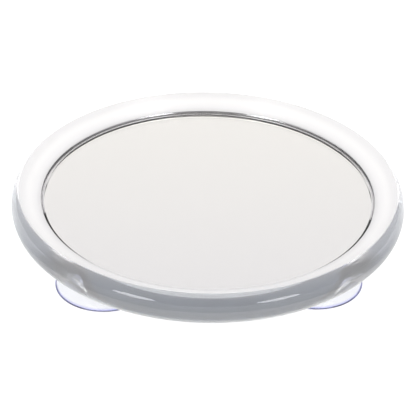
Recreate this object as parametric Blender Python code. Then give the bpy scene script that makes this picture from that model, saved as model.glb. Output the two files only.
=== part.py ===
"""Magnifying makeup mirror that lies face up on three suction cups.

A concave glass lies in the pocket of a thick clear frame, a round dish with a full round outer
edge. A grey pad with adhesive on both faces bonds the glass to the pocket's floor, which follows
the curve of the glass. The stem of each suction cup snaps into a stepped hole in that floor. The
origin is on the frame's axis, on the surface that the cups stand on. Lengths are in metres and
angles in degrees.
"""

import math

import bmesh
import bpy

# Frame
FRAME_RADIUS = 0.0800
FRAME_UNDERSIDE = 0.0167
EDGE_RADIUS = 0.00854
CREASE_ANGLE = 36.5
RIM_WIDTH = 0.0122
FLOOR_THICKNESS = 0.0024

# Glass
GLASS_THICKNESS = 0.0020
GLASS_CURVE_RADIUS = 0.6000
GLASS_EDGE_GAP = 0.0005
GLASS_BELOW_LIP = 0.0011
GLASS_BEVEL = 0.0007
GLASS_BEVEL_DEPTH = 0.0004

# Bonding pad
PAD_THICKNESS = 0.0008
PAD_EDGE_INSET = 0.0006

# Suction cups
CUP_RADIUS = 0.0200
CUP_INSET = 0.0115
CUP_LIP_THICKNESS = 0.0006
CUP_LIP_FLAT = 0.0010
BELL_HEIGHT = 0.0112
BELL_HOLLOW_DEPTH = 0.0066
BELL_HOLLOW_TOP_RADIUS = 0.0030
KNOB_RADIUS = 0.0065
KNOB_FILLET = 0.0008
NECK_RADIUS = 0.0036
HEAD_RADIUS = 0.0060
HEAD_THICKNESS = 0.0016
HEAD_FILLET = 0.0006

# Clearances
CONTACT_GAP = 0.0003
NECK_GAP = 0.0003
HEAD_SIDE_GAP = 0.0005
HEAD_TOP_GAP = 0.0005
CUT_OVERRUN = 0.0020
WELD_DISTANCE = 0.000001

# Where the cups stand, seen from above
CUP_ANGLES = {"left": -150.0, "right": -30.0, "rear": 90.0}

# How finely the round surfaces are drawn
FRAME_STEPS = 80
BULLNOSE_STEPS = 14
GLASS_RINGS = 6
CUP_STEPS = 36
FLANK_STEPS = 6
STEM_STEPS = 28
FILLET_STEPS = 2
SMOOTH_ANGLE = 30.0

# Handles of the bell's curved flanks, as shares of the flank's width and height
OUTER_FLANK_SHARES = ((0.10, 0.62), (0.52, 0.30))
INNER_FLANK_SHARES = ((0.40, 0.62), (0.72, 1.00))

# Derived sizes of the frame's edge
BULLNOSE_RADIUS = FRAME_RADIUS - EDGE_RADIUS
BULLNOSE_HEIGHT = FRAME_UNDERSIDE + EDGE_RADIUS
LIP_RADIUS = FRAME_RADIUS - RIM_WIDTH

# Derived sizes of the glass and the pad, with depths measured down from the glass's front face
PAD_TOP_DEPTH = GLASS_THICKNESS + CONTACT_GAP
PAD_UNDERSIDE_DEPTH = PAD_TOP_DEPTH + PAD_THICKNESS
POCKET_DEPTH = PAD_UNDERSIDE_DEPTH + CONTACT_GAP
GLASS_CENTRE_HEIGHT = FRAME_UNDERSIDE + FLOOR_THICKNESS + POCKET_DEPTH
GLASS_RADIUS = LIP_RADIUS - GLASS_EDGE_GAP
PAD_RADIUS = GLASS_RADIUS - PAD_EDGE_INSET


def glass_face(radius, depth):
    """Height of the concave glass at a radius, at a depth below its front face."""
    rise = GLASS_CURVE_RADIUS - math.sqrt(GLASS_CURVE_RADIUS**2 - radius**2)
    return GLASS_CENTRE_HEIGHT + rise - depth


# Derived heights of the frame's lip and of the cups' heads, which stay clear of the pad
LIP_HEIGHT = glass_face(GLASS_RADIUS, 0) + GLASS_BELOW_LIP
CUP_PITCH_RADIUS = FRAME_RADIUS - CUP_INSET - CUP_RADIUS
HEAD_TOP = glass_face(CUP_PITCH_RADIUS - HEAD_RADIUS, PAD_UNDERSIDE_DEPTH) - HEAD_TOP_GAP
HEAD_UNDERSIDE = HEAD_TOP - HEAD_THICKNESS
CUP_FLOOR_TOP = HEAD_UNDERSIDE - CONTACT_GAP


def face_points(outer_radius, depth, outward):
    """Points along a face that follows the curve of the glass, between the axis and a radius."""
    radii = [outer_radius * ring / GLASS_RINGS for ring in range(GLASS_RINGS + 1)]
    if not outward:
        radii.reverse()
    return [(radius, glass_face(radius, depth)) for radius in radii]


def clear_scene():
    """Remove whatever the file holds, such as the default cube."""
    for item in list(bpy.data.objects):
        bpy.data.objects.remove(item, do_unlink=True)


def make_material(name, colour, roughness, metallic=0.0, transmission=0.0):
    """Return a material with the colour and gloss of one sub-part."""
    material = bpy.data.materials.new(name)
    material.use_nodes = True
    shader = material.node_tree.nodes["Principled BSDF"]
    shader.inputs["Base Color"].default_value = (*colour, 1.0)
    shader.inputs["Roughness"].default_value = roughness
    shader.inputs["Metallic"].default_value = metallic
    shader.inputs["Transmission Weight"].default_value = transmission
    return material


def arc(centre_radius, centre_height, arc_radius, start, end, steps):
    """Points of an arc in the outline's plane, with angles measured from straight up."""
    points = []
    for step in range(steps + 1):
        angle = math.radians(start + (end - start) * step / steps)
        radius = centre_radius + arc_radius * math.sin(angle)
        height = centre_height + arc_radius * math.cos(angle)
        points.append((radius, height))
    return points


def flank(start, end, handle_shares, steps):
    """Points of a curve from start to end whose two handles are shares of the way between."""
    (start_radius, start_height), (end_radius, end_height) = start, end
    width = end_radius - start_radius
    rise = end_height - start_height
    handles = [(start_radius + width * across, start_height + rise * up) for across, up in handle_shares]
    controls = [start, *handles, end]
    points = []
    for step in range(steps + 1):
        t = step / steps
        weights = ((1 - t) ** 3, 3 * t * (1 - t) ** 2, 3 * t**2 * (1 - t), t**3)
        radius = sum(weight * point[0] for weight, point in zip(weights, controls))
        height = sum(weight * point[1] for weight, point in zip(weights, controls))
        points.append((radius, height))
    return points


def spin_outline(name, outline, steps):
    """Turn an outline of (radius, height) points, which starts and ends on the vertical axis."""
    shape = bmesh.new()
    corners = [shape.verts.new((radius, 0, height)) for radius, height in outline]
    edges = [shape.edges.new(pair) for pair in zip(corners, corners[1:])]
    bmesh.ops.spin(
        shape,
        geom=corners + edges,
        cent=(0, 0, 0),
        axis=(0, 0, 1),
        dvec=(0, 0, 0),
        angle=2 * math.pi,
        steps=steps,
        use_merge=True,
        use_duplicate=False,
    )
    bmesh.ops.remove_doubles(shape, verts=shape.verts, dist=WELD_DISTANCE)
    bmesh.ops.recalc_face_normals(shape, faces=shape.faces)
    mesh = bpy.data.meshes.new(name)
    shape.to_mesh(mesh)
    shape.free()
    mesh.shade_smooth()
    mesh.set_sharp_from_angle(angle=math.radians(SMOOTH_ANGLE))
    return mesh


def place(name, mesh, parent, material=None):
    """Add a mesh to the scene as a named object under a parent."""
    item = bpy.data.objects.new(name, mesh)
    bpy.context.scene.collection.objects.link(item)
    item.parent = parent
    if material:
        item.data.materials.append(material)
    return item


def place_empty(name, parent, location):
    """Add an empty that carries the objects of one sub-assembly."""
    empty = bpy.data.objects.new(name, None)
    bpy.context.scene.collection.objects.link(empty)
    empty.parent = parent
    empty.location = location
    return empty


def make_hole_cutter(name, parent, location, radius, bottom, top):
    """An upright cylinder that cuts a round hole out of the frame's floor."""
    shape = bmesh.new()
    bmesh.ops.create_cone(
        shape,
        cap_ends=True,
        segments=STEM_STEPS,
        radius1=radius,
        radius2=radius,
        depth=top - bottom,
    )
    mesh = bpy.data.meshes.new(name)
    shape.to_mesh(mesh)
    shape.free()
    cutter = place(name, mesh, parent)
    cutter.location = (location[0], location[1], (bottom + top) / 2)
    cutter.hide_render = True
    cutter.display_type = "WIRE"
    return cutter


def cut(item, cutter):
    """Cut a shape out of an object."""
    difference = item.modifiers.new(cutter.name, "BOOLEAN")
    difference.operation = "DIFFERENCE"
    difference.object = cutter


def make_frame(parent, cup_places):
    """The clear frame: pocket, sloping top face, full round edge and stepped holes in its floor."""
    outline = face_points(LIP_RADIUS, POCKET_DEPTH, outward=True)
    outline.append((LIP_RADIUS, LIP_HEIGHT))
    outline += arc(BULLNOSE_RADIUS, BULLNOSE_HEIGHT, EDGE_RADIUS, CREASE_ANGLE, 180.0, BULLNOSE_STEPS)
    outline.append((0, FRAME_UNDERSIDE))
    mesh = spin_outline("clear_frame", outline, FRAME_STEPS)
    acrylic = make_material("clear_acrylic", (0.93, 0.94, 0.96), 0.03, transmission=1.0)
    frame = place("clear_frame", mesh, parent, acrylic)
    hole_bottom = FRAME_UNDERSIDE - CUT_OVERRUN
    hole_top = CUP_FLOOR_TOP + CUT_OVERRUN
    recess_radius = HEAD_RADIUS + HEAD_SIDE_GAP
    recess_top = LIP_HEIGHT + CUT_OVERRUN
    for side, location in cup_places.items():
        neck = make_hole_cutter(
            f"neck_hole_{side}", parent, location, NECK_RADIUS + NECK_GAP, hole_bottom, hole_top
        )
        head = make_hole_cutter(
            f"head_recess_{side}", parent, location, recess_radius, CUP_FLOOR_TOP, recess_top
        )
        cut(frame, neck)
        cut(frame, head)
    return frame


def make_glass(parent):
    """The concave glass with a ground bevel round its front edge."""
    outline = face_points(GLASS_RADIUS - GLASS_BEVEL, 0, outward=True)
    outline.append((GLASS_RADIUS, glass_face(GLASS_RADIUS, GLASS_BEVEL_DEPTH)))
    outline += face_points(GLASS_RADIUS, GLASS_THICKNESS, outward=False)
    mesh = spin_outline("mirror_glass", outline, FRAME_STEPS)
    silvered = make_material("silvered_glass", (0.88, 0.87, 0.86), 0.02, metallic=1.0)
    return place("mirror_glass", mesh, parent, silvered)


def make_pad(parent):
    """The grey pad that bonds the glass to the pocket's floor."""
    outline = face_points(PAD_RADIUS, PAD_TOP_DEPTH, outward=True)
    outline += face_points(PAD_RADIUS, PAD_UNDERSIDE_DEPTH, outward=False)
    mesh = spin_outline("bonding_pad", outline, FRAME_STEPS)
    foam = make_material("grey_foam", (0.40, 0.41, 0.43), 0.80)
    return place("bonding_pad", mesh, parent, foam)


def make_bell_mesh():
    """The soft bell: flat top, flared outer flank, flat lip and hollow underside."""
    top_corner = (KNOB_RADIUS, BELL_HEIGHT)
    lip_corner = (CUP_RADIUS, CUP_LIP_THICKNESS)
    hollow_edge = (CUP_RADIUS - CUP_LIP_FLAT, 0)
    hollow_top = (BELL_HOLLOW_TOP_RADIUS, BELL_HOLLOW_DEPTH)
    outline = [(0, BELL_HEIGHT)]
    outline += flank(top_corner, lip_corner, OUTER_FLANK_SHARES, FLANK_STEPS)
    outline.append((CUP_RADIUS, 0))
    outline += flank(hollow_edge, hollow_top, INNER_FLANK_SHARES, FLANK_STEPS)
    outline.append((0, BELL_HOLLOW_DEPTH))
    return spin_outline("cup_bell", outline, CUP_STEPS)


def make_stem_mesh():
    """The stem: a round knob, the neck in the frame's hole and the mushroom head above it."""
    knob_underside = BELL_HEIGHT + CONTACT_GAP
    knob_top = FRAME_UNDERSIDE - CONTACT_GAP
    head_centre = HEAD_RADIUS - HEAD_FILLET
    knob_centre = KNOB_RADIUS - KNOB_FILLET
    outline = [(0, HEAD_TOP)]
    outline += arc(head_centre, HEAD_TOP - HEAD_FILLET, HEAD_FILLET, 0.0, 90.0, FILLET_STEPS)
    outline += [(HEAD_RADIUS, HEAD_UNDERSIDE), (NECK_RADIUS, HEAD_UNDERSIDE), (NECK_RADIUS, knob_top)]
    outline += arc(knob_centre, knob_top - KNOB_FILLET, KNOB_FILLET, 0.0, 90.0, FILLET_STEPS)
    outline += [(KNOB_RADIUS, knob_underside), (0, knob_underside)]
    return spin_outline("cup_stem", outline, STEM_STEPS)


def make_cups(parent, cup_places):
    """Three suction cups, each with its stem and its bell under an empty on its own axis."""
    soft_vinyl = make_material("soft_vinyl", (0.90, 0.91, 0.97), 0.10, transmission=1.0)
    firm_vinyl = make_material("firm_vinyl", (0.88, 0.90, 0.96), 0.10, transmission=1.0)
    bell_mesh = make_bell_mesh()
    bell_mesh.materials.append(soft_vinyl)
    stem_mesh = make_stem_mesh()
    stem_mesh.materials.append(firm_vinyl)
    for side, location in cup_places.items():
        axis = place_empty(f"cup_{side}_axis", parent, location)
        place(f"cup_{side}_stem", stem_mesh, axis)
        place(f"cup_{side}_bell", bell_mesh, axis)


def main():
    """Build the whole mirror."""
    clear_scene()
    mirror = place_empty("makeup_mirror", None, (0, 0, 0))
    cup_places = {}
    for side, angle in CUP_ANGLES.items():
        direction = math.radians(angle)
        cup_places[side] = (CUP_PITCH_RADIUS * math.cos(direction), CUP_PITCH_RADIUS * math.sin(direction), 0)
    make_frame(mirror, cup_places)
    make_glass(mirror)
    make_pad(mirror)
    make_cups(mirror, cup_places)


main()
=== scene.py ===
"""Magnifying makeup mirror lying face up on three suction cups, dressed for its photograph.

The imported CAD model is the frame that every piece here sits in. Lengths are in metres, angles in
degrees, and the origin is on the frame's axis, on the surface that the cups stand on.
"""

import logging
import math
from dataclasses import dataclass, field
from enum import Enum
from typing import Any, ClassVar, Optional

import bmesh
import bpy
from mathutils import Matrix, Vector

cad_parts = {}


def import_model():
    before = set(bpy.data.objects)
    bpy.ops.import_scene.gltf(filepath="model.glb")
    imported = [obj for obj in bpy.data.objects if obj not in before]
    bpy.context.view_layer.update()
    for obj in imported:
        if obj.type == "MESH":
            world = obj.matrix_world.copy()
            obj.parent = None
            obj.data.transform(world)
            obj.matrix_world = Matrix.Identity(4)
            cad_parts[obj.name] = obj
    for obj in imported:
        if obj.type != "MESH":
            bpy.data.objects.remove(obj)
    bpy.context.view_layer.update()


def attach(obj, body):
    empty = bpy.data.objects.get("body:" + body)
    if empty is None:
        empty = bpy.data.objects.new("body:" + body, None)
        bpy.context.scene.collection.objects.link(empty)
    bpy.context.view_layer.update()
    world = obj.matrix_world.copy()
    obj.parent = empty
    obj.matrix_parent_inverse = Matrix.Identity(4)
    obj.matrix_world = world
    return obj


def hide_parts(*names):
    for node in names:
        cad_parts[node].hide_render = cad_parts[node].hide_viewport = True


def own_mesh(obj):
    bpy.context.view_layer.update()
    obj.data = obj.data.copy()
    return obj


LOG = logging.getLogger("makeup_mirror")
MM = 0.001
SHARP_ANGLE = 20.0
Outline = list[tuple[float, float]]


class Side(Enum):
    """The place of a suction cup, by the angle it stands at, seen from above."""

    LEFT = -150.0
    RIGHT = -30.0
    REAR = 90.0

    @property
    def word(self) -> str:
        """The name that the CAD nodes use for this side."""
        return self.name.lower()

    def place(self, pitch: float) -> Vector:
        """Where the cup's axis meets the table, on a circle with the pitch as its radius."""
        angle = math.radians(self.value)
        return Vector((pitch * math.cos(angle), pitch * math.sin(angle), 0))


class Grain(Enum):
    """The pattern that breaks up a finish."""

    WAVES = "ShaderNodeTexNoise"
    CELLS = "ShaderNodeTexVoronoi"


class DishFace(Enum):
    """The finish of a face of the dish, by its place in the dish's list of materials."""

    POLISHED = 0
    COVERED = 1
    SATIN = 2


def linear(code: str) -> tuple[float, float, float, float]:
    """Turn an sRGB hex colour into the linear colour that a shader takes.

    Args:
        code: The colour as six hex digits, such as "8f9499".

    Returns:
        Linear red, green, blue and an alpha of one.
    """
    parts = [int(code[start : start + 2], 16) / 255 for start in (0, 2, 4)]
    red, green, blue = (p / 12.92 if p <= 0.04045 else ((p + 0.055) / 1.055) ** 2.4 for p in parts)
    return (red, green, blue, 1.0)


def add_node(
    tree: bpy.types.NodeTree,
    kind: str,
    values: Optional[dict[Any, Any]] = None,
    feeds: Optional[dict[Any, bpy.types.NodeSocket]] = None,
    **settings: Any,
) -> bpy.types.Node:
    """Add a node with its settings, its socket values and its links.

    Args:
        tree: The node tree that takes the node.
        kind: Blender's type name of the node.
        values: Values for input sockets, by socket name or number.
        feeds: Output sockets that feed input sockets, by socket name or number.
        **settings: The node's own settings.

    Returns:
        The new node.
    """
    node = tree.nodes.new(kind)
    for name, value in settings.items():
        setattr(node, name, value)
    for socket, value in (values or {}).items():
        node.inputs[socket].default_value = value
    for socket, source in (feeds or {}).items():
        tree.links.new(source, node.inputs[socket])
    return node


def arc(centre: tuple[float, float], size: float, start: float, end: float, steps: int) -> Outline:
    """Points of an arc in an outline's plane, with its angles from straight up towards the outside."""
    angles = [math.radians(start + (end - start) * step / steps) for step in range(steps + 1)]
    return [(centre[0] + size * math.sin(a), centre[1] + size * math.cos(a)) for a in angles]


def bezier(points: Outline, steps: int) -> Outline:
    """Points along the cubic curve of four control points.

    Args:
        points: Start, two handles and end, as (radius, height).
        steps: Number of straight pieces.

    Returns:
        The points as (radius, height).
    """
    curve = []
    for step in range(steps + 1):
        t = step / steps
        weights = ((1 - t) ** 3, 3 * t * (1 - t) ** 2, 3 * t**2 * (1 - t), t**3)
        curve.append(tuple(sum(w * p[axis] for w, p in zip(weights, points)) for axis in (0, 1)))
    return curve


def finish_mesh(name: str, points: list[tuple[float, ...]], faces: list[tuple[int, ...]]) -> bpy.types.Mesh:
    """Make a mesh whose normals face out and whose corners are sharp where they should be.

    Args:
        name: Name of the mesh.
        points: Places of the corners.
        faces: Corner numbers of each face.

    Returns:
        The mesh.
    """
    mesh = bpy.data.meshes.new(name)
    mesh.from_pydata(points, [], faces)
    shape = bmesh.new()
    shape.from_mesh(mesh)
    bmesh.ops.recalc_face_normals(shape, faces=shape.faces)
    shape.to_mesh(mesh)
    shape.free()
    mesh.shade_smooth()
    mesh.set_sharp_from_angle(angle=math.radians(SHARP_ANGLE))
    return mesh


def turned(outline: Outline, steps: int) -> list[tuple[float, float, float]]:
    """Points of an outline turned about the vertical axis, one ring after another."""
    turns = [2 * math.pi * step / steps for step in range(steps)]
    return [(r * math.cos(turn), r * math.sin(turn), h) for r, h in outline for turn in turns]


def band(upper: int, lower: int, steps: int) -> list[tuple[int, int, int, int]]:
    """Faces between two rings of points that start at the given numbers."""
    near = [(step - 1) % steps for step in range(steps)]
    return [(upper + a, lower + a, lower + b, upper + b) for b, a in enumerate(near)]


def lathe(name: str, outline: Outline, steps: int) -> bpy.types.Mesh:
    """Turn an outline, which starts and ends on the vertical axis, into a closed mesh.

    Args:
        name: Name of the mesh.
        outline: Points as (radius, height).
        steps: Number of segments round the axis.

    Returns:
        The mesh.
    """
    points = turned(outline[1:-1], steps)
    starts = range(0, len(points), steps)
    faces: list[tuple[int, ...]] = []
    for upper, lower in zip(starts, starts[1:]):
        faces += band(upper, lower, steps)
    for pole, start in ((len(points), 0), (len(points) + 1, starts[-1])):
        faces += [(pole, start + (step - 1) % steps, start + step) for step in range(steps)]
    points += [(0.0, 0.0, outline[0][1]), (0.0, 0.0, outline[-1][1])]
    return finish_mesh(name, points, faces)


def ring(name: str, outline: Outline, steps: int) -> bpy.types.Mesh:
    """Turn a closed outline, which stays clear of the vertical axis, into a ring.

    Args:
        name: Name of the mesh.
        outline: Points as (radius, height), with the first one not repeated.
        steps: Number of segments round the axis.

    Returns:
        The mesh.
    """
    points = turned(outline, steps)
    starts = list(range(0, len(points), steps))
    faces: list[tuple[int, ...]] = []
    for upper, lower in zip(starts, starts[1:] + starts[:1]):
        faces += band(upper, lower, steps)
    return finish_mesh(name, points, faces)


def stand(name: str, mesh: bpy.types.Mesh, place: Vector = Vector((0, 0, 0))) -> bpy.types.Object:
    """Put a mesh into the scene as an object.

    Args:
        name: Name of the object.
        mesh: Its mesh.
        place: Where its origin goes.

    Returns:
        The new object.
    """
    item = bpy.data.objects.new(name, mesh)
    item.location = place
    bpy.context.scene.collection.objects.link(item)
    return item


@dataclass(frozen=True)
class Finish:
    """A surface: what it is made of and how its skin was made."""

    name: str
    colour: str = "ffffff"
    roughness: float = 0.0
    ior: float = 1.5
    metallic: float = 0.0
    transmission: float = 0.0
    grain: Grain = Grain.WAVES
    grain_size: float = 10 * MM
    relief: float = 0.0
    roughness_swing: float = 0.0

    def pattern(self, tree: bpy.types.NodeTree) -> bpy.types.NodeSocket:
        """Add the pattern that breaks up the surface.

        Args:
            tree: The material's node tree.

        Returns:
            The pattern's value, from 0 to 1.
        """
        place = add_node(tree, "ShaderNodeTexCoord")
        repeats = {"Scale": 1 / self.grain_size}
        spread = add_node(tree, self.grain.value, repeats, {"Vector": place.outputs["Object"]})
        return spread.outputs[0]

    def dress(self, shader: bpy.types.Node, tree: bpy.types.NodeTree) -> None:
        """Feed the pattern to the shader's roughness and bump.

        Args:
            shader: The material's Principled shader.
            tree: The material's node tree.
        """
        pattern = self.pattern(tree)
        if self.roughness_swing:
            limits = {"To Min": self.roughness, "To Max": self.roughness + self.roughness_swing}
            swing = add_node(tree, "ShaderNodeMapRange", limits, {"Value": pattern})
            tree.links.new(swing.outputs["Result"], shader.inputs["Roughness"])
        if self.relief:
            lift = {"Strength": 1.0, "Distance": self.relief}
            bump = add_node(tree, "ShaderNodeBump", lift, {"Height": pattern})
            tree.links.new(bump.outputs["Normal"], shader.inputs["Normal"])

    def make(self) -> bpy.types.Material:
        """Make the material.

        Returns:
            The new material.
        """
        material = bpy.data.materials.new(self.name)
        material.use_nodes = True
        tree = material.node_tree
        shader = tree.nodes["Principled BSDF"]
        shader.inputs["Base Color"].default_value = linear(self.colour)
        shader.inputs["Roughness"].default_value = self.roughness
        shader.inputs["IOR"].default_value = self.ior
        shader.inputs["Metallic"].default_value = self.metallic
        shader.inputs["Transmission Weight"].default_value = self.transmission
        self.dress(shader, tree)
        return material


@dataclass(frozen=True)
class TintedFinish(Finish):
    """A finish whose colour changes with the distance from the piece's own upright axis."""

    tints_and_painted_shading: tuple[tuple[float, str], ...] = ((0.0, "ffffff"), (1.0, "ffffff"))
    clearing: tuple[tuple[float, float], ...] = ()
    clear_roughness: float = 0.03

    def dress(self, shader: bpy.types.Node, tree: bpy.types.NodeTree) -> None:
        """Add the tints and the painted shading to the plain finish, and let a satin face clear towards its
        edge.

        Args:
            shader: The material's Principled shader.
            tree: The material's node tree.
        """
        super().dress(shader, tree)
        place = add_node(tree, "ShaderNodeTexCoord")
        across = {0: place.outputs["Object"]}
        flat = add_node(tree, "ShaderNodeVectorMath", {1: (1, 1, 0)}, across, operation="MULTIPLY")
        reach = add_node(tree, "ShaderNodeVectorMath", None, {0: flat.outputs[0]}, operation="LENGTH")
        colours = [(radius, linear(colour)) for radius, colour in self.tints_and_painted_shading]
        tree.links.new(self.by_radius(tree, reach, colours), shader.inputs["Base Color"])
        if self.clearing:
            greys = [(radius, (share, share, share, 1.0)) for radius, share in self.clearing]
            clear = self.by_radius(tree, reach, greys)
            tree.links.new(clear, shader.inputs["Transmission Weight"])
            satin = shader.inputs["Roughness"].links[0].from_socket
            first, last = self.clearing[0][1], self.clearing[-1][1]
            limits = {"From Min": first, "From Max": last, "To Max": self.clear_roughness}
            polish = add_node(tree, "ShaderNodeMapRange", limits, {"Value": clear, "To Min": satin})
            tree.links.new(polish.outputs["Result"], shader.inputs["Roughness"])

    @staticmethod
    def by_radius(
        tree: bpy.types.NodeTree,
        reach: bpy.types.Node,
        stops: list[tuple[float, tuple[float, float, float, float]]],
    ) -> bpy.types.NodeSocket:
        """Add a ramp that gives each radius its colour.

        Args:
            tree: The material's node tree.
            reach: The node that gives the distance from the axis.
            stops: Radii with their linear colours, from the inside out.

        Returns:
            The ramp's colour.
        """
        start, end = stops[0][0], stops[-1][0]
        limits = {"From Min": start, "From Max": end}
        share = add_node(tree, "ShaderNodeMapRange", limits, {"Value": reach.outputs["Value"]})
        ramp = add_node(tree, "ShaderNodeValToRGB", None, {"Fac": share.outputs["Result"]})
        for _ in stops[2:]:
            ramp.color_ramp.elements.new(1.0)
        for element, (radius, colour) in zip(ramp.color_ramp.elements, stops):
            element.position = (radius - start) / (end - start)
            element.color = colour
        return ramp.outputs["Color"]


@dataclass(frozen=True)
class AdhesiveFinish(TintedFinish):
    """A tinted finish that leaves the clear floor bare in a circle round each suction cup."""

    cup_pitch: float = 48.5 * MM
    bare_radius: float = 14.0 * MM
    bare_edge: float = 0.3 * MM
    bare_colour: str = "ffffff"

    def dress(self, shader: bpy.types.Node, tree: bpy.types.NodeTree) -> None:
        """Add the bare circles to the tinted finish.

        Args:
            shader: The material's Principled shader.
            tree: The material's node tree.
        """
        super().dress(shader, tree)
        colour, rough = (shader.inputs[name].links[0].from_socket for name in ("Base Color", "Roughness"))
        nearest = self.nearest_cup(tree)
        edge = {"From Min": self.bare_radius, "From Max": self.bare_radius + self.bare_edge}
        covered = add_node(tree, "ShaderNodeMapRange", edge, {"Value": nearest}).outputs["Result"]
        bare = add_node(tree, "ShaderNodeMapRange", {"To Min": 1.0, "To Max": 0.0}, {"Value": covered})
        tree.links.new(bare.outputs["Result"], shader.inputs["Transmission Weight"])
        gloss = add_node(tree, "ShaderNodeMapRange", None, {"Value": covered, "To Max": rough})
        tree.links.new(gloss.outputs["Result"], shader.inputs["Roughness"])
        white = {6: linear(self.bare_colour)}
        mix = add_node(tree, "ShaderNodeMix", white, {0: covered, 7: colour}, data_type="RGBA")
        tree.links.new(mix.outputs[2], shader.inputs["Base Color"])

    def nearest_cup(self, tree: bpy.types.NodeTree) -> bpy.types.NodeSocket:
        """Add the nodes that measure how far the nearest cup's axis is.

        Args:
            tree: The material's node tree.

        Returns:
            The distance.
        """
        place = add_node(tree, "ShaderNodeTexCoord")
        nearest = None
        for side in Side:
            axis = {1: side.place(self.cup_pitch)}
            point = {0: place.outputs["Object"]}
            way = {0: add_node(tree, "ShaderNodeVectorMath", axis, point, operation="SUBTRACT").outputs[0]}
            flat = add_node(tree, "ShaderNodeVectorMath", {1: (1, 1, 0)}, way, operation="MULTIPLY")
            reach = add_node(tree, "ShaderNodeVectorMath", None, {0: flat.outputs[0]}, operation="LENGTH")
            both = {0: reach.outputs["Value"], 1: nearest or reach.outputs["Value"]}
            nearest = add_node(tree, "ShaderNodeMath", None, both, operation="MINIMUM").outputs[0]
        return nearest


@dataclass(frozen=True)
class GlassCurve:
    """The hollow curve of the glass, which the pad and the pocket's floor follow."""

    curve_radius: float = 600.0 * MM
    centre_height: float = 22.5 * MM
    steps: int = 26

    def height(self, radius: float, depth: float) -> float:
        """Height of the curve at a radius, at a depth below the glass's front face."""
        rise = self.curve_radius - math.sqrt(self.curve_radius**2 - radius**2)
        return self.centre_height + rise - depth

    def face(self, first: float, last: float, depth: float) -> Outline:
        """Points along the curve from one radius to another, at a depth below the front face."""
        radii = [first + (last - first) * step / self.steps for step in range(self.steps + 1)]
        return [(radius, self.height(radius, depth)) for radius in radii]


# Cast PMMA, flame polished: clear as water, with the faint waviness of a hand-polished edge.
CAST_ACRYLIC = Finish(
    "cast_acrylic_polished",
    roughness=0.01,
    ior=1.49,
    transmission=0.8,
    grain_size=14 * MM,
    roughness_swing=0.03,
)
# Cast PMMA, diamond turned and left satin: the sloping face scatters light and looks white, and it
# clears where the polish of the edge runs over it. Turning marks are about 0.1 mm apart, and they
# are drawn at 0.8 mm so that they show.
SATIN_ACRYLIC = TintedFinish(
    "cast_acrylic_satin",
    roughness=0.12,
    ior=1.49,
    transmission=0.1,
    grain_size=0.8 * MM,
    roughness_swing=0.1,
    # Painted shade: the colour darkens over the last 4 mm towards the lip, beside the mirror's pocket.
    tints_and_painted_shading=((67.8 * MM, "cfd0d3"), (69.5 * MM, "dedfe2"), (72.0 * MM, "e6e7e9"), (76.6 * MM, "e6e7ea")),
    clearing=((76.4 * MM, 0.1), (76.9 * MM, 0.74), (78.2 * MM, 0.8), (79.6 * MM, 0.8)),
)
# Grey acrylic adhesive, rolled on and pressed against the clear floor: matt. Its colour carries painted
# light and shade: paler towards both rims and darkest about 47 mm from the axis.
PRESSED_ADHESIVE = AdhesiveFinish(
    "pressed_grey_adhesive",
    roughness=0.8,
    grain_size=9 * MM,
    roughness_swing=0.15,
    # Painted light and shade: the grey is lightened towards both rims and darkened round 47 mm.
    tints_and_painted_shading=(
        (32.0 * MM, "c4c8ce"),
        (40.0 * MM, "8a94a0"),
        (47.0 * MM, "6a7583"),
        (55.0 * MM, "8a96a6"),
        (61.0 * MM, "b4bcc8"),
        (67.8 * MM, "c2c8d0"),
    ),
)
# Closed-cell polyethylene foam, skived: matt, with fine open cells on its cut edge. The cells are
# about 0.3 mm across, and they are drawn at 0.6 mm so that they show.
SKIVED_FOAM = Finish(
    "skived_polyethylene_foam",
    colour="86888c",
    roughness=0.85,
    grain=Grain.CELLS,
    grain_size=0.6 * MM,
    relief=0.08 * MM,
)
# Float glass, sagged over a mould and polished: a hard clean gloss.
SAGGED_GLASS = Finish(
    "sagged_float_glass",
    ior=1.52,
    transmission=1.0,
    grain_size=40 * MM,
    relief=0.0005 * MM,
)
# Chemically deposited silver: a mirror with the faintest haze.
WET_SILVER = Finish(
    "wet_deposited_silver",
    colour="f7f7f6",
    roughness=0.004,
    metallic=1.0,
    grain_size=30 * MM,
    roughness_swing=0.006,
)
# Grey mirror backing paint, curtain coated: an even skin that seals the silver's edge.
BACKING_PAINT = Finish(
    "curtain_coated_paint", colour="5c5c61", roughness=0.45, grain_size=2 * MM, roughness_swing=0.15
)
# Aluminium sealing lacquer, brushed into the gap round the glass: bright, with a soft uneven shine.
SEALING_LACQUER = Finish(
    "brushed_sealing_lacquer",
    colour="fafafc",
    roughness=0.15,
    metallic=0.9,
    grain_size=3 * MM,
    roughness_swing=0.1,
)
# Plasticised PVC, injection moulded: clear with a faint milkiness, and with its bluish cast where
# light runs along the wall, at the flank of the knob and at the rim of the lip.
MOULDED_VINYL = TintedFinish(
    "moulded_clear_vinyl",
    roughness=0.01,
    ior=1.53,
    transmission=0.94,
    grain_size=6 * MM,
    relief=0.01 * MM,
    tints_and_painted_shading=(
        (5.4 * MM, "f6f8ff"),
        (6.3 * MM, "b4bbdc"),
        (6.6 * MM, "b4bbdc"),
        (7.4 * MM, "fafbff"),
        (19.0 * MM, "fafbff"),
        (19.8 * MM, "989cf0"),
    ),
)


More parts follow.
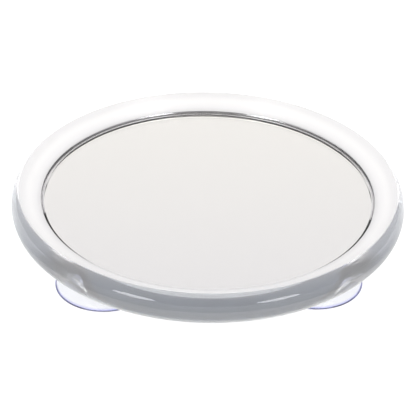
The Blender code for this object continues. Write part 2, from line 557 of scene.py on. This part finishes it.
@dataclass
class ClearFrame:
    """The clear dish: pocket, sloping top face, full round edge and stepped holes for the cups."""

    curve: GlassCurve
    outer_radius: float = 80.0 * MM
    underside: float = 16.7 * MM
    edge_radius: float = 8.54 * MM
    crease_angle: float = 36.5
    lip_radius: float = 67.8 * MM
    lip_above_glass: float = 1.1 * MM
    lip_rounding: float = 0.45 * MM
    seal_height: float = 25.7 * MM
    glass_radius: float = 67.3 * MM
    pocket_depth: float = 3.4 * MM
    recess_floor: float = 18.507 * MM
    recess_radius: float = 6.5 * MM
    neck_hole_radius: float = 3.9 * MM
    neck_hole_chamfer: float = 0.25 * MM
    cup_pitch: float = 48.5 * MM
    cut_below: float = 1.0 * MM
    cut_above: float = 3.0 * MM
    floor_tolerance: float = 0.05 * MM
    wall_tolerance: float = 0.1 * MM
    corner_tolerance: float = 0.01 * MM
    least_floor_normal: float = 0.5
    least_top_normal: float = 0.05
    cone_shares: tuple[float, ...] = (0.33, 0.67)
    underside_shares: tuple[float, ...] = (0.75, 0.5, 0.25, 0.0)
    steps: int = 256
    edge_steps: int = 56
    lip_steps: int = 6
    hole_steps: int = 64

    def outline(self) -> Outline:
        """Outline of the dish from the middle of its pocket round to the middle of its underside.

        Returns:
            The points as (radius, height).
        """
        lip_height = self.curve.height(self.glass_radius, 0) + self.lip_above_glass
        centre = (self.outer_radius - self.edge_radius, self.underside + self.edge_radius)
        edge = arc(centre, self.edge_radius, self.crease_angle, 180.0, self.edge_steps)
        crease = edge[0]
        slope = math.atan2(crease[1] - lip_height, crease[0] - self.lip_radius)
        rounding = self.lip_rounding
        turn = math.pi / 2 - slope
        reach = rounding * math.tan(turn / 2)
        low = (self.lip_radius, lip_height - reach)
        lip = arc((low[0] + rounding, low[1]), rounding, -90.0, -math.degrees(slope), self.lip_steps)
        top = lip[-1]
        cone = [
            (top[0] + (crease[0] - top[0]) * share, top[1] + (crease[1] - top[1]) * share)
            for share in self.cone_shares
        ]
        pocket = self.curve.face(0.0, self.lip_radius, self.pocket_depth)
        wall = [(self.lip_radius, self.seal_height)]
        underside = [(centre[0] * share, self.underside) for share in self.underside_shares]
        return pocket + wall + lip + cone + edge + underside

    def hole(self, side: Side) -> bpy.types.Object:
        """The stepped cutter of one cup's hole, from below the dish to above its pocket floor.

        Args:
            side: Which cup.

        Returns:
            The cutter.
        """
        neck, recess, chamfer = self.neck_hole_radius, self.recess_radius, self.neck_hole_chamfer
        bottom, top = self.underside - self.cut_below, self.recess_floor + self.cut_above
        outline = [
            (0.0, bottom),
            (neck + chamfer + self.cut_below, bottom),
            (neck, self.underside + chamfer),
            (neck, self.recess_floor),
            (recess, self.recess_floor),
            (recess, top),
            (0.0, top),
        ]
        name = f"hole_{side.word}"
        return stand(name, lathe(name, outline, self.hole_steps), side.place(self.cup_pitch))

    def finish_of(self, face: bpy.types.MeshPolygon) -> DishFace:
        """Which finish a face has: polished, covered by adhesive or lacquer, or satin.

        Args:
            face: A face of the dish.

        Returns:
            The face's finish.
        """
        middle, up = face.center, face.normal.z
        radius = math.hypot(middle.x, middle.y)
        pocket_floor = self.curve.height(radius, self.pocket_depth)
        if radius < self.lip_radius + self.corner_tolerance:
            on_floor = abs(middle.z - pocket_floor) < self.floor_tolerance
            glued = on_floor and up > self.least_floor_normal
            lacquered = radius > self.lip_radius - self.wall_tolerance and middle.z < self.seal_height
            return DishFace.COVERED if glued or lacquered else DishFace.POLISHED
        above = middle.z > self.underside + self.edge_radius
        return DishFace.SATIN if above and up > self.least_top_normal else DishFace.POLISHED

    def build(self) -> list[bpy.types.Object]:
        """Build the dish.

        Returns:
            The dish as one piece.
        """
        name = "clear_frame_moulding"
        body = stand(name, lathe(name, self.outline(), self.steps))
        cutters = [self.hole(side) for side in Side]
        for cutter in cutters:
            cut = body.modifiers.new(cutter.name, "BOOLEAN")
            cut.object = cutter
        bpy.context.view_layer.update()
        done = bpy.data.meshes.new_from_object(body.evaluated_get(bpy.context.evaluated_depsgraph_get()))
        body.modifiers.clear()
        body.data = done
        for cutter in cutters:
            bpy.data.objects.remove(cutter)
        done.materials.clear()
        for finish in (CAST_ACRYLIC, PRESSED_ADHESIVE, SATIN_ACRYLIC):
            done.materials.append(finish.make())
        for face in done.polygons:
            face.material_index = self.finish_of(face).value
        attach(body, "frame")
        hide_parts("clear_frame")
        return [body]


@dataclass
class MirrorGlass:
    """The hollow glass with its bevel, its silver, its backing paint and the lacquer round it."""

    curve: GlassCurve
    radius: float = 67.3 * MM
    thickness: float = 2.0 * MM
    bevel: float = 0.7 * MM
    bevel_depth: float = 0.4 * MM
    arris: float = 0.15 * MM
    edge_break: float = 0.1 * MM
    edge_break_rise: float = 0.03 * MM
    silver_radius: float = 67.1 * MM
    coat: float = 0.02 * MM
    wrap_thickness: float = 0.06 * MM
    wrap_chamfer: float = 0.04 * MM
    wall_radius: float = 67.8 * MM
    wall_above_glass: float = 1.1 * MM
    seal_below_lip: float = 0.15 * MM
    seal_gap: float = 0.12 * MM
    seal_start: float = 0.2 * MM
    seal_depth: float = 1.2 * MM
    seal_sag: tuple[tuple[float, float], ...] = (
        (0.0, 0.0),
        (0.5, 0.04),
        (0.75, 0.15),
        (0.88, 0.45),
        (1.0, 1.0),
    )
    steps: int = 256

    def glass(self) -> bpy.types.Object:
        """The glass itself.

        Returns:
            The glass.
        """
        height = self.curve.height
        outline = self.curve.face(0.0, self.radius - self.bevel, 0.0)
        outline += [
            (self.radius - self.edge_break, height(self.radius, self.bevel_depth - self.edge_break_rise)),
            (self.radius, height(self.radius, self.bevel_depth + self.edge_break)),
            (self.radius, height(self.radius, self.thickness - self.arris)),
        ]
        outline += self.curve.face(self.radius - self.arris, 0.0, self.thickness)
        body = stand("concave_glass", lathe("concave_glass", outline, self.steps))
        body.data.materials.append(SAGGED_GLASS.make())
        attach(body, "frame")
        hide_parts("mirror_glass")
        return body

    def silver(self) -> bpy.types.Object:
        """The silver on the back of the glass.

        Returns:
            The silver layer.
        """
        top = self.thickness + self.coat
        outline = self.curve.face(0.0, self.silver_radius, top)
        outline += self.curve.face(self.silver_radius, 0.0, top + self.coat)
        layer = stand("silver_layer", lathe("silver_layer", outline, self.steps))
        layer.data.materials.append(WET_SILVER.make())
        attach(layer, "frame")
        return layer

    def paint(self) -> bpy.types.Object:
        """The paint behind the silver, which wraps the edge of the glass.

        Returns:
            The skin of paint.
        """
        height = self.curve.height
        top = self.thickness + 3 * self.coat
        wrap = self.radius + self.coat
        wrap_top = self.bevel_depth + self.edge_break
        outline = self.curve.face(0.0, self.radius - self.arris, top)
        outline += [
            (wrap, height(self.radius, self.thickness - self.arris)),
            (wrap, height(self.radius, wrap_top)),
            (wrap + self.wrap_thickness, height(self.radius, wrap_top + self.wrap_chamfer)),
            (wrap + self.wrap_thickness, height(self.radius, self.thickness + self.coat)),
        ]
        outline += self.curve.face(self.radius - self.arris, 0.0, top + 2 * self.coat)
        skin = stand("backing_paint", lathe("backing_paint", outline, self.steps))
        skin.data.materials.append(BACKING_PAINT.make())
        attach(skin, "frame")
        return skin

    def seal(self) -> bpy.types.Object:
        """The lacquer that seals the gap between the glass and the wall of the pocket.

        Returns:
            The ring of lacquer.
        """
        height = self.curve.height
        foot = height(self.radius, self.bevel_depth + self.seal_start)
        inner = self.radius + self.seal_gap
        wall = self.wall_radius - self.coat
        crown = height(self.radius, 0) + self.wall_above_glass - self.seal_below_lip
        width, rise = wall - inner, crown - foot
        outline = [(inner + width * across, foot + rise * up) for across, up in self.seal_sag]
        outline += [(wall, foot - self.seal_depth), (inner, foot - self.seal_depth)]
        seal = stand("edge_seal", ring("edge_seal", outline, self.steps))
        seal.data.materials.append(SEALING_LACQUER.make())
        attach(seal, "frame")
        return seal

    def build(self) -> list[bpy.types.Object]:
        """Build the glass, its two coats and the seal round it."""
        return [self.glass(), self.silver(), self.paint(), self.seal()]


@dataclass
class BondingPad:
    """The grey foam pad with adhesive on both faces."""

    curve: GlassCurve
    radius: float = 66.7 * MM
    top_depth: float = 2.3 * MM
    thickness: float = 0.8 * MM
    bulge: float = 0.12 * MM
    steps: int = 256

    def build(self) -> list[bpy.types.Object]:
        """Build the pad.

        Returns:
            The pad as one piece.
        """
        middle = self.top_depth + self.thickness / 2
        outline = self.curve.face(0.0, self.radius - self.bulge, self.top_depth)
        outline.append((self.radius, self.curve.height(self.radius, middle)))
        outline += self.curve.face(self.radius - self.bulge, 0.0, self.top_depth + self.thickness)
        pad = stand("foam_pad", lathe("foam_pad", outline, self.steps))
        pad.data.materials.append(SKIVED_FOAM.make())
        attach(pad, "frame")
        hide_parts("bonding_pad")
        return [pad]


@dataclass
class SuctionCup:
    """One clear suction cup: the soft bell, and the stem with its knob, neck and head."""

    side: Side
    vinyl: bpy.types.Material = field(repr=False)
    pitch: float = 48.5 * MM
    radius: float = 20.0 * MM
    lip_thickness: float = 0.6 * MM
    lip_flat: float = 1.0 * MM
    bell_height: float = 11.2 * MM
    hollow_depth: float = 6.6 * MM
    hollow_top_radius: float = 3.0 * MM
    knob_radius: float = 6.5 * MM
    knob_bottom: float = 11.5 * MM
    knob_top: float = 16.4 * MM
    knob_rounding: float = 0.8 * MM
    neck_radius: float = 3.6 * MM
    head_radius: float = 6.0 * MM
    head_underside: float = 18.807 * MM
    head_top: float = 20.407 * MM
    head_rounding: float = 0.6 * MM
    head_chamfer: float = 0.2 * MM
    neck_chamfer: float = 0.3 * MM
    gate_radius: float = 0.9 * MM
    gate_depth: float = 0.2 * MM
    press_travel: float = 4.5 * MM
    outer_handles: tuple[tuple[float, float], ...] = ((0.10, 0.62), (0.52, 0.30))
    hollow_handles: tuple[tuple[float, float], ...] = ((0.40, 0.62), (0.72, 1.00))
    steps: int = 128
    flank_steps: int = 28
    lip_steps: int = 10
    rounding_steps: int = 8

    @property
    def place(self) -> Vector:
        """Where the cup's axis meets the surface that it stands on."""
        return self.side.place(self.pitch)

    def flank(
        self,
        start: tuple[float, float],
        end: tuple[float, float],
        shares: tuple[tuple[float, float], ...],
    ) -> Outline:
        """A flank of the bell.

        Args:
            start: First point, as (radius, height).
            end: Last point.
            shares: Places of the curve's two handles, as shares of the way from start to end.

        Returns:
            The points of the flank.
        """
        width, rise = end[0] - start[0], end[1] - start[1]
        handles = [(start[0] + width * across, start[1] + rise * up) for across, up in shares]
        return bezier([start, *handles, end], self.flank_steps)

    def bell(self) -> bpy.types.Object:
        """The soft bell at rest; it is not made to flatten as the cup is pressed down.

        Returns:
            The bell.
        """
        half_lip = self.lip_thickness / 2
        lip_centre = (self.radius - half_lip, half_lip)
        crown = (self.knob_radius, self.bell_height)
        lip_top = (lip_centre[0], self.lip_thickness)
        lip_inside = (self.radius - self.lip_flat, 0.0)
        hollow_top = (self.hollow_top_radius, self.hollow_depth)
        outline = [(0.0, self.bell_height)]
        outline += self.flank(crown, lip_top, self.outer_handles)
        outline += arc(lip_centre, half_lip, 0.0, 180.0, self.lip_steps)[1:]
        outline += self.flank(lip_inside, hollow_top, self.hollow_handles)
        outline.append((0.0, self.hollow_depth))
        name = f"cup_{self.side.word}_soft_bell"
        bell = stand(name, lathe(name, outline, self.steps), self.place)
        bell.data.materials.append(self.vinyl)
        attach(bell, f"stem_{self.side.word}")
        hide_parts(f"cup_{self.side.word}_bell")
        anchor = (self.place.x, self.place.y, self.bell_height)
        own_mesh(bell)
        return bell

    def stem(self) -> bpy.types.Object:
        """The stem, which snaps into the dish and turns in its hole.

        Returns:
            The stem.
        """
        head, neck, under = self.head_radius, self.neck_radius, self.head_underside
        gate, gate_floor = self.gate_radius, self.head_top - self.gate_depth
        head_centre = (head - self.head_rounding, self.head_top - self.head_rounding)
        knob_centre = (self.knob_radius - self.knob_rounding, self.knob_top - self.knob_rounding)
        outline = [(0.0, gate_floor), (gate, gate_floor), (gate + self.gate_depth, self.head_top)]
        outline += arc(head_centre, self.head_rounding, 0.0, 90.0, self.rounding_steps)
        outline += [
            (head, under + self.head_chamfer),
            (head - self.head_chamfer, under),
            (neck + self.neck_chamfer, under),
            (neck, under - self.neck_chamfer),
            (neck, self.knob_top),
        ]
        outline += arc(knob_centre, self.knob_rounding, 0.0, 90.0, self.rounding_steps)
        outline += [(self.knob_radius, self.knob_bottom), (0.0, self.knob_bottom)]
        name = f"cup_{self.side.word}_snap_stem"
        stem = stand(name, lathe(name, outline, self.steps), self.place)
        stem.data.materials.append(self.vinyl)
        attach(stem, f"stem_{self.side.word}")
        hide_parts(f"cup_{self.side.word}_stem")
        return stem

    def build(self) -> list[bpy.types.Object]:
        """Build the bell and the stem."""
        return [self.bell(), self.stem()]


@dataclass
class Softbox:
    """An oval softbox that hangs at a distance from the mirror and faces it."""

    name: str
    azimuth: float
    elevation: float
    width: float
    height: float
    radiance: float
    distance: float = 1.2

    def build(self, turn: float) -> bpy.types.Object:
        """Hang the light.

        Args:
            turn: How far the whole studio is turned about the mirror's axis.

        Returns:
            The light.
        """
        lamp = bpy.data.lights.new(self.name, "AREA")
        lamp.shape = "ELLIPSE"
        lamp.size, lamp.size_y = self.width, self.height
        lamp.energy = self.radiance * math.pi * self.width * self.height
        item = bpy.data.objects.new(self.name, lamp)
        a, e = math.radians(self.azimuth - turn), math.radians(self.elevation)
        way = Vector((math.sin(a) * math.cos(e), math.cos(a) * math.cos(e), math.sin(e)))
        item.location = self.distance * way
        item.rotation_euler = (-item.location).to_track_quat("-Z", "Y").to_euler()
        item.visible_camera = False
        item.visible_diffuse = False
        item.visible_transmission = False
        bpy.context.scene.collection.objects.link(item)
        return item


@dataclass
class Studio:
    """A glowing pale table, a pale tent round it, and softboxes that are turned with the camera.

    The tent's edges are given along its unit directions: Y for its front, and Z for its roof. A
    dimming or an opening is the share of the tent's light that is left there.
    """

    SOFT: ClassVar[dict[str, str]] = {"interpolation_type": "SMOOTHSTEP"}

    turn: float = -3.0
    table_size: float = 16.0
    table_drop: float = 0.1 * MM
    table_colour: str = "595959"
    table_roughness: float = 0.9
    glow_colour: str = "ffffff"
    front_glow: float = 1.0
    back_glow: float = 1.6
    glow_edges: tuple[float, float] = (-20 * MM, 50 * MM)
    wall_colours: tuple[tuple[float, str], ...] = ((0.30, "eeecef"), (0.72, "fefbf7"))
    front_dimming: float = 0.7
    dimming_edges: tuple[float, float] = (-0.7, 0.25)
    front_opening: float = 0.3
    front_edges: tuple[float, float] = (-0.88, -0.74)
    roof_opening: float = 0.24
    roof_edges: tuple[float, float] = (0.965, 0.985)
    top_light: float = 2.2
    top_light_tilt: float = 72.0
    top_light_edges: tuple[float, float] = (0.75, 0.92)
    softboxes: list[Softbox] = field(
        default_factory=lambda: [
            Softbox("side_softbox_left", -143.0, 9.5, 0.48, 0.24, 6.5),
            Softbox("side_softbox_right", 143.0, 8.5, 0.48, 0.24, 6.5),
        ]
    )

    @staticmethod
    def limits(edges: tuple[float, float], before: float, after: float) -> dict[str, float]:
        """Values of a change from one level to another between two edges."""
        return {"From Min": edges[0], "From Max": edges[1], "To Min": before, "To Max": after}

    def table(self) -> bpy.types.Object:
        """The table: an acrylic light table that glows more behind the mirror than before it.

        Returns:
            The table.
        """
        half = self.table_size / 2
        mesh = bpy.data.meshes.new("light_table")
        corners = [(-half, -half, 0), (half, -half, 0), (half, half, 0), (-half, half, 0)]
        mesh.from_pydata(corners, [], [(0, 1, 2, 3)])
        table = stand("light_table", mesh, Vector((0, 0, -self.table_drop)))
        # Extruded opal PMMA: an even white glow with a matt face that mirrors nothing.
        material = bpy.data.materials.new("opal_acrylic_sheet")
        material.use_nodes = True
        tree = material.node_tree
        shader = tree.nodes["Principled BSDF"]
        shader.inputs["Base Color"].default_value = linear(self.table_colour)
        shader.inputs["Roughness"].default_value = self.table_roughness
        shader.inputs["Emission Color"].default_value = linear(self.glow_colour)
        place = add_node(tree, "ShaderNodeTexCoord")
        parts = add_node(tree, "ShaderNodeSeparateXYZ", None, {0: place.outputs["Object"]})
        levels = self.limits(self.glow_edges, self.front_glow, self.back_glow)
        glow = add_node(tree, "ShaderNodeMapRange", levels, {"Value": parts.outputs["Y"]}, **self.SOFT)
        tree.links.new(glow.outputs["Result"], shader.inputs["Emission Strength"])
        mesh.materials.append(material)
        return table

    def tent(self) -> bpy.types.World:
        """The pale tent: brightest overhead, with an opening at its front and one in its roof.

        Returns:
            The world that stands for the tent.
        """
        world = bpy.data.worlds.new("pale_tent")
        bpy.context.scene.world = world
        world.use_nodes = True
        tree = world.node_tree
        background = tree.nodes["Background"]
        place = add_node(tree, "ShaderNodeTexCoord")
        parts = add_node(tree, "ShaderNodeSeparateXYZ", None, {0: place.outputs["Generated"]})
        ramp = add_node(tree, "ShaderNodeValToRGB", None, {"Fac": parts.outputs["Z"]})
        for number, (position, colour) in enumerate(self.wall_colours):
            ramp.color_ramp.elements[number].position = position
            ramp.color_ramp.elements[number].color = linear(colour)
        tree.links.new(ramp.outputs["Color"], background.inputs["Color"])
        tree.links.new(self.brightness(tree, place, parts), background.inputs["Strength"])
        return world

    def brightness(
        self, tree: bpy.types.NodeTree, place: bpy.types.Node, parts: bpy.types.Node
    ) -> bpy.types.NodeSocket:
        """Add the nodes that give each direction of the tent its brightness.

        Args:
            tree: The tent's node tree.
            place: The node that gives the direction.
            parts: The node that splits the direction into its parts.

        Returns:
            The brightness.
        """
        forward, up = {"Value": parts.outputs["Y"]}, {"Value": parts.outputs["Z"]}
        dimming = self.limits(self.dimming_edges, self.front_dimming, 1.0)
        walls = add_node(tree, "ShaderNodeMapRange", dimming, forward, **self.SOFT)
        front = self.limits(self.front_edges, self.front_opening, 1.0)
        opening = add_node(tree, "ShaderNodeMapRange", front, forward, **self.SOFT)
        shade = {0: walls.outputs["Result"], 1: opening.outputs["Result"]}
        dimmed = add_node(tree, "ShaderNodeMath", None, shade, operation="MULTIPLY")
        tilt = math.radians(self.top_light_tilt)
        axis = {1: (0, -math.cos(tilt), math.sin(tilt))}
        way = {0: place.outputs["Generated"]}
        towards = add_node(tree, "ShaderNodeVectorMath", axis, way, operation="DOT_PRODUCT")
        facing = {"Value": towards.outputs["Value"]}
        rise = self.limits(self.top_light_edges, 0.0, self.top_light)
        top_light = add_node(tree, "ShaderNodeMapRange", rise, facing, **self.SOFT)
        both = {0: dimmed.outputs[0], 1: top_light.outputs["Result"]}
        total = add_node(tree, "ShaderNodeMath", None, both, operation="ADD")
        fall = self.limits(self.roof_edges, 1.0, self.roof_opening)
        roof = add_node(tree, "ShaderNodeMapRange", fall, up, **self.SOFT)
        holed = {0: total.outputs[0], 1: roof.outputs["Result"]}
        return add_node(tree, "ShaderNodeMath", None, holed, operation="MULTIPLY").outputs[0]

    def build(self) -> None:
        """Set up the table, the tent and the lights."""
        self.table()
        self.tent()
        for softbox in self.softboxes:
            softbox.build(self.turn)


@dataclass
class StudioCamera:
    """The camera, placed where the photograph was taken from."""

    turn: float = -3.0
    elevation: float = 32.34
    distance: float = 640 * MM
    aim_height: float = 25.24 * MM
    tilt: float = 0.417
    pan: float = 0.011
    roll: float = 1.162
    focal_pixels: float = 1567.7
    image_pixels: int = 416
    sensor_width: float = 36.0
    clip_start: float = 10 * MM

    def build(self) -> bpy.types.Object:
        """Place the camera.

        Returns:
            The camera.
        """
        data = bpy.data.cameras.new("photograph_camera")
        data.sensor_width = self.sensor_width
        data.lens = self.sensor_width * self.focal_pixels / self.image_pixels
        data.clip_start = self.clip_start
        camera = bpy.data.objects.new("photograph_camera", data)
        bpy.context.scene.collection.objects.link(camera)
        height, look = math.radians(self.elevation), math.radians(self.elevation + self.tilt)
        pan, roll = math.radians(self.pan), math.radians(self.roll)
        ahead = Vector((0, math.cos(look), -math.sin(look)))
        above = Vector((0, math.sin(look), math.cos(look)))
        right = Vector((1, 0, 0))
        ahead, right = (
            ahead * math.cos(pan) + right * math.sin(pan),
            right * math.cos(pan) - ahead * math.sin(pan),
        )
        right, above = (
            right * math.cos(roll) + above * math.sin(roll),
            above * math.cos(roll) - right * math.sin(roll),
        )
        place = Matrix((right, above, -ahead)).transposed().to_4x4()
        back, rise = self.distance * math.cos(height), self.distance * math.sin(height)
        place.translation = Vector((0, -back, rise + self.aim_height))
        camera.matrix_world = Matrix.Rotation(math.radians(self.turn), 4, "Z") @ place
        bpy.context.scene.camera = camera
        return camera


def main() -> None:
    """Load the frame, build the mirror's sub-assemblies and set up the studio."""
    logging.basicConfig(level=logging.INFO, format="%(message)s")
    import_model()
    curve = GlassCurve()
    vinyl = MOULDED_VINYL.make()
    cups = [SuctionCup(side, vinyl) for side in Side]
    for assembly in (ClearFrame(curve), MirrorGlass(curve), BondingPad(curve), *cups):
        for piece in assembly.build():
            LOG.info("%s: %s has %d faces", type(assembly).__name__, piece.name, len(piece.data.polygons))
    Studio().build()
    StudioCamera().build()
    bpy.context.scene.view_settings.view_transform = "Standard"


if __name__ == "__main__":
    main()
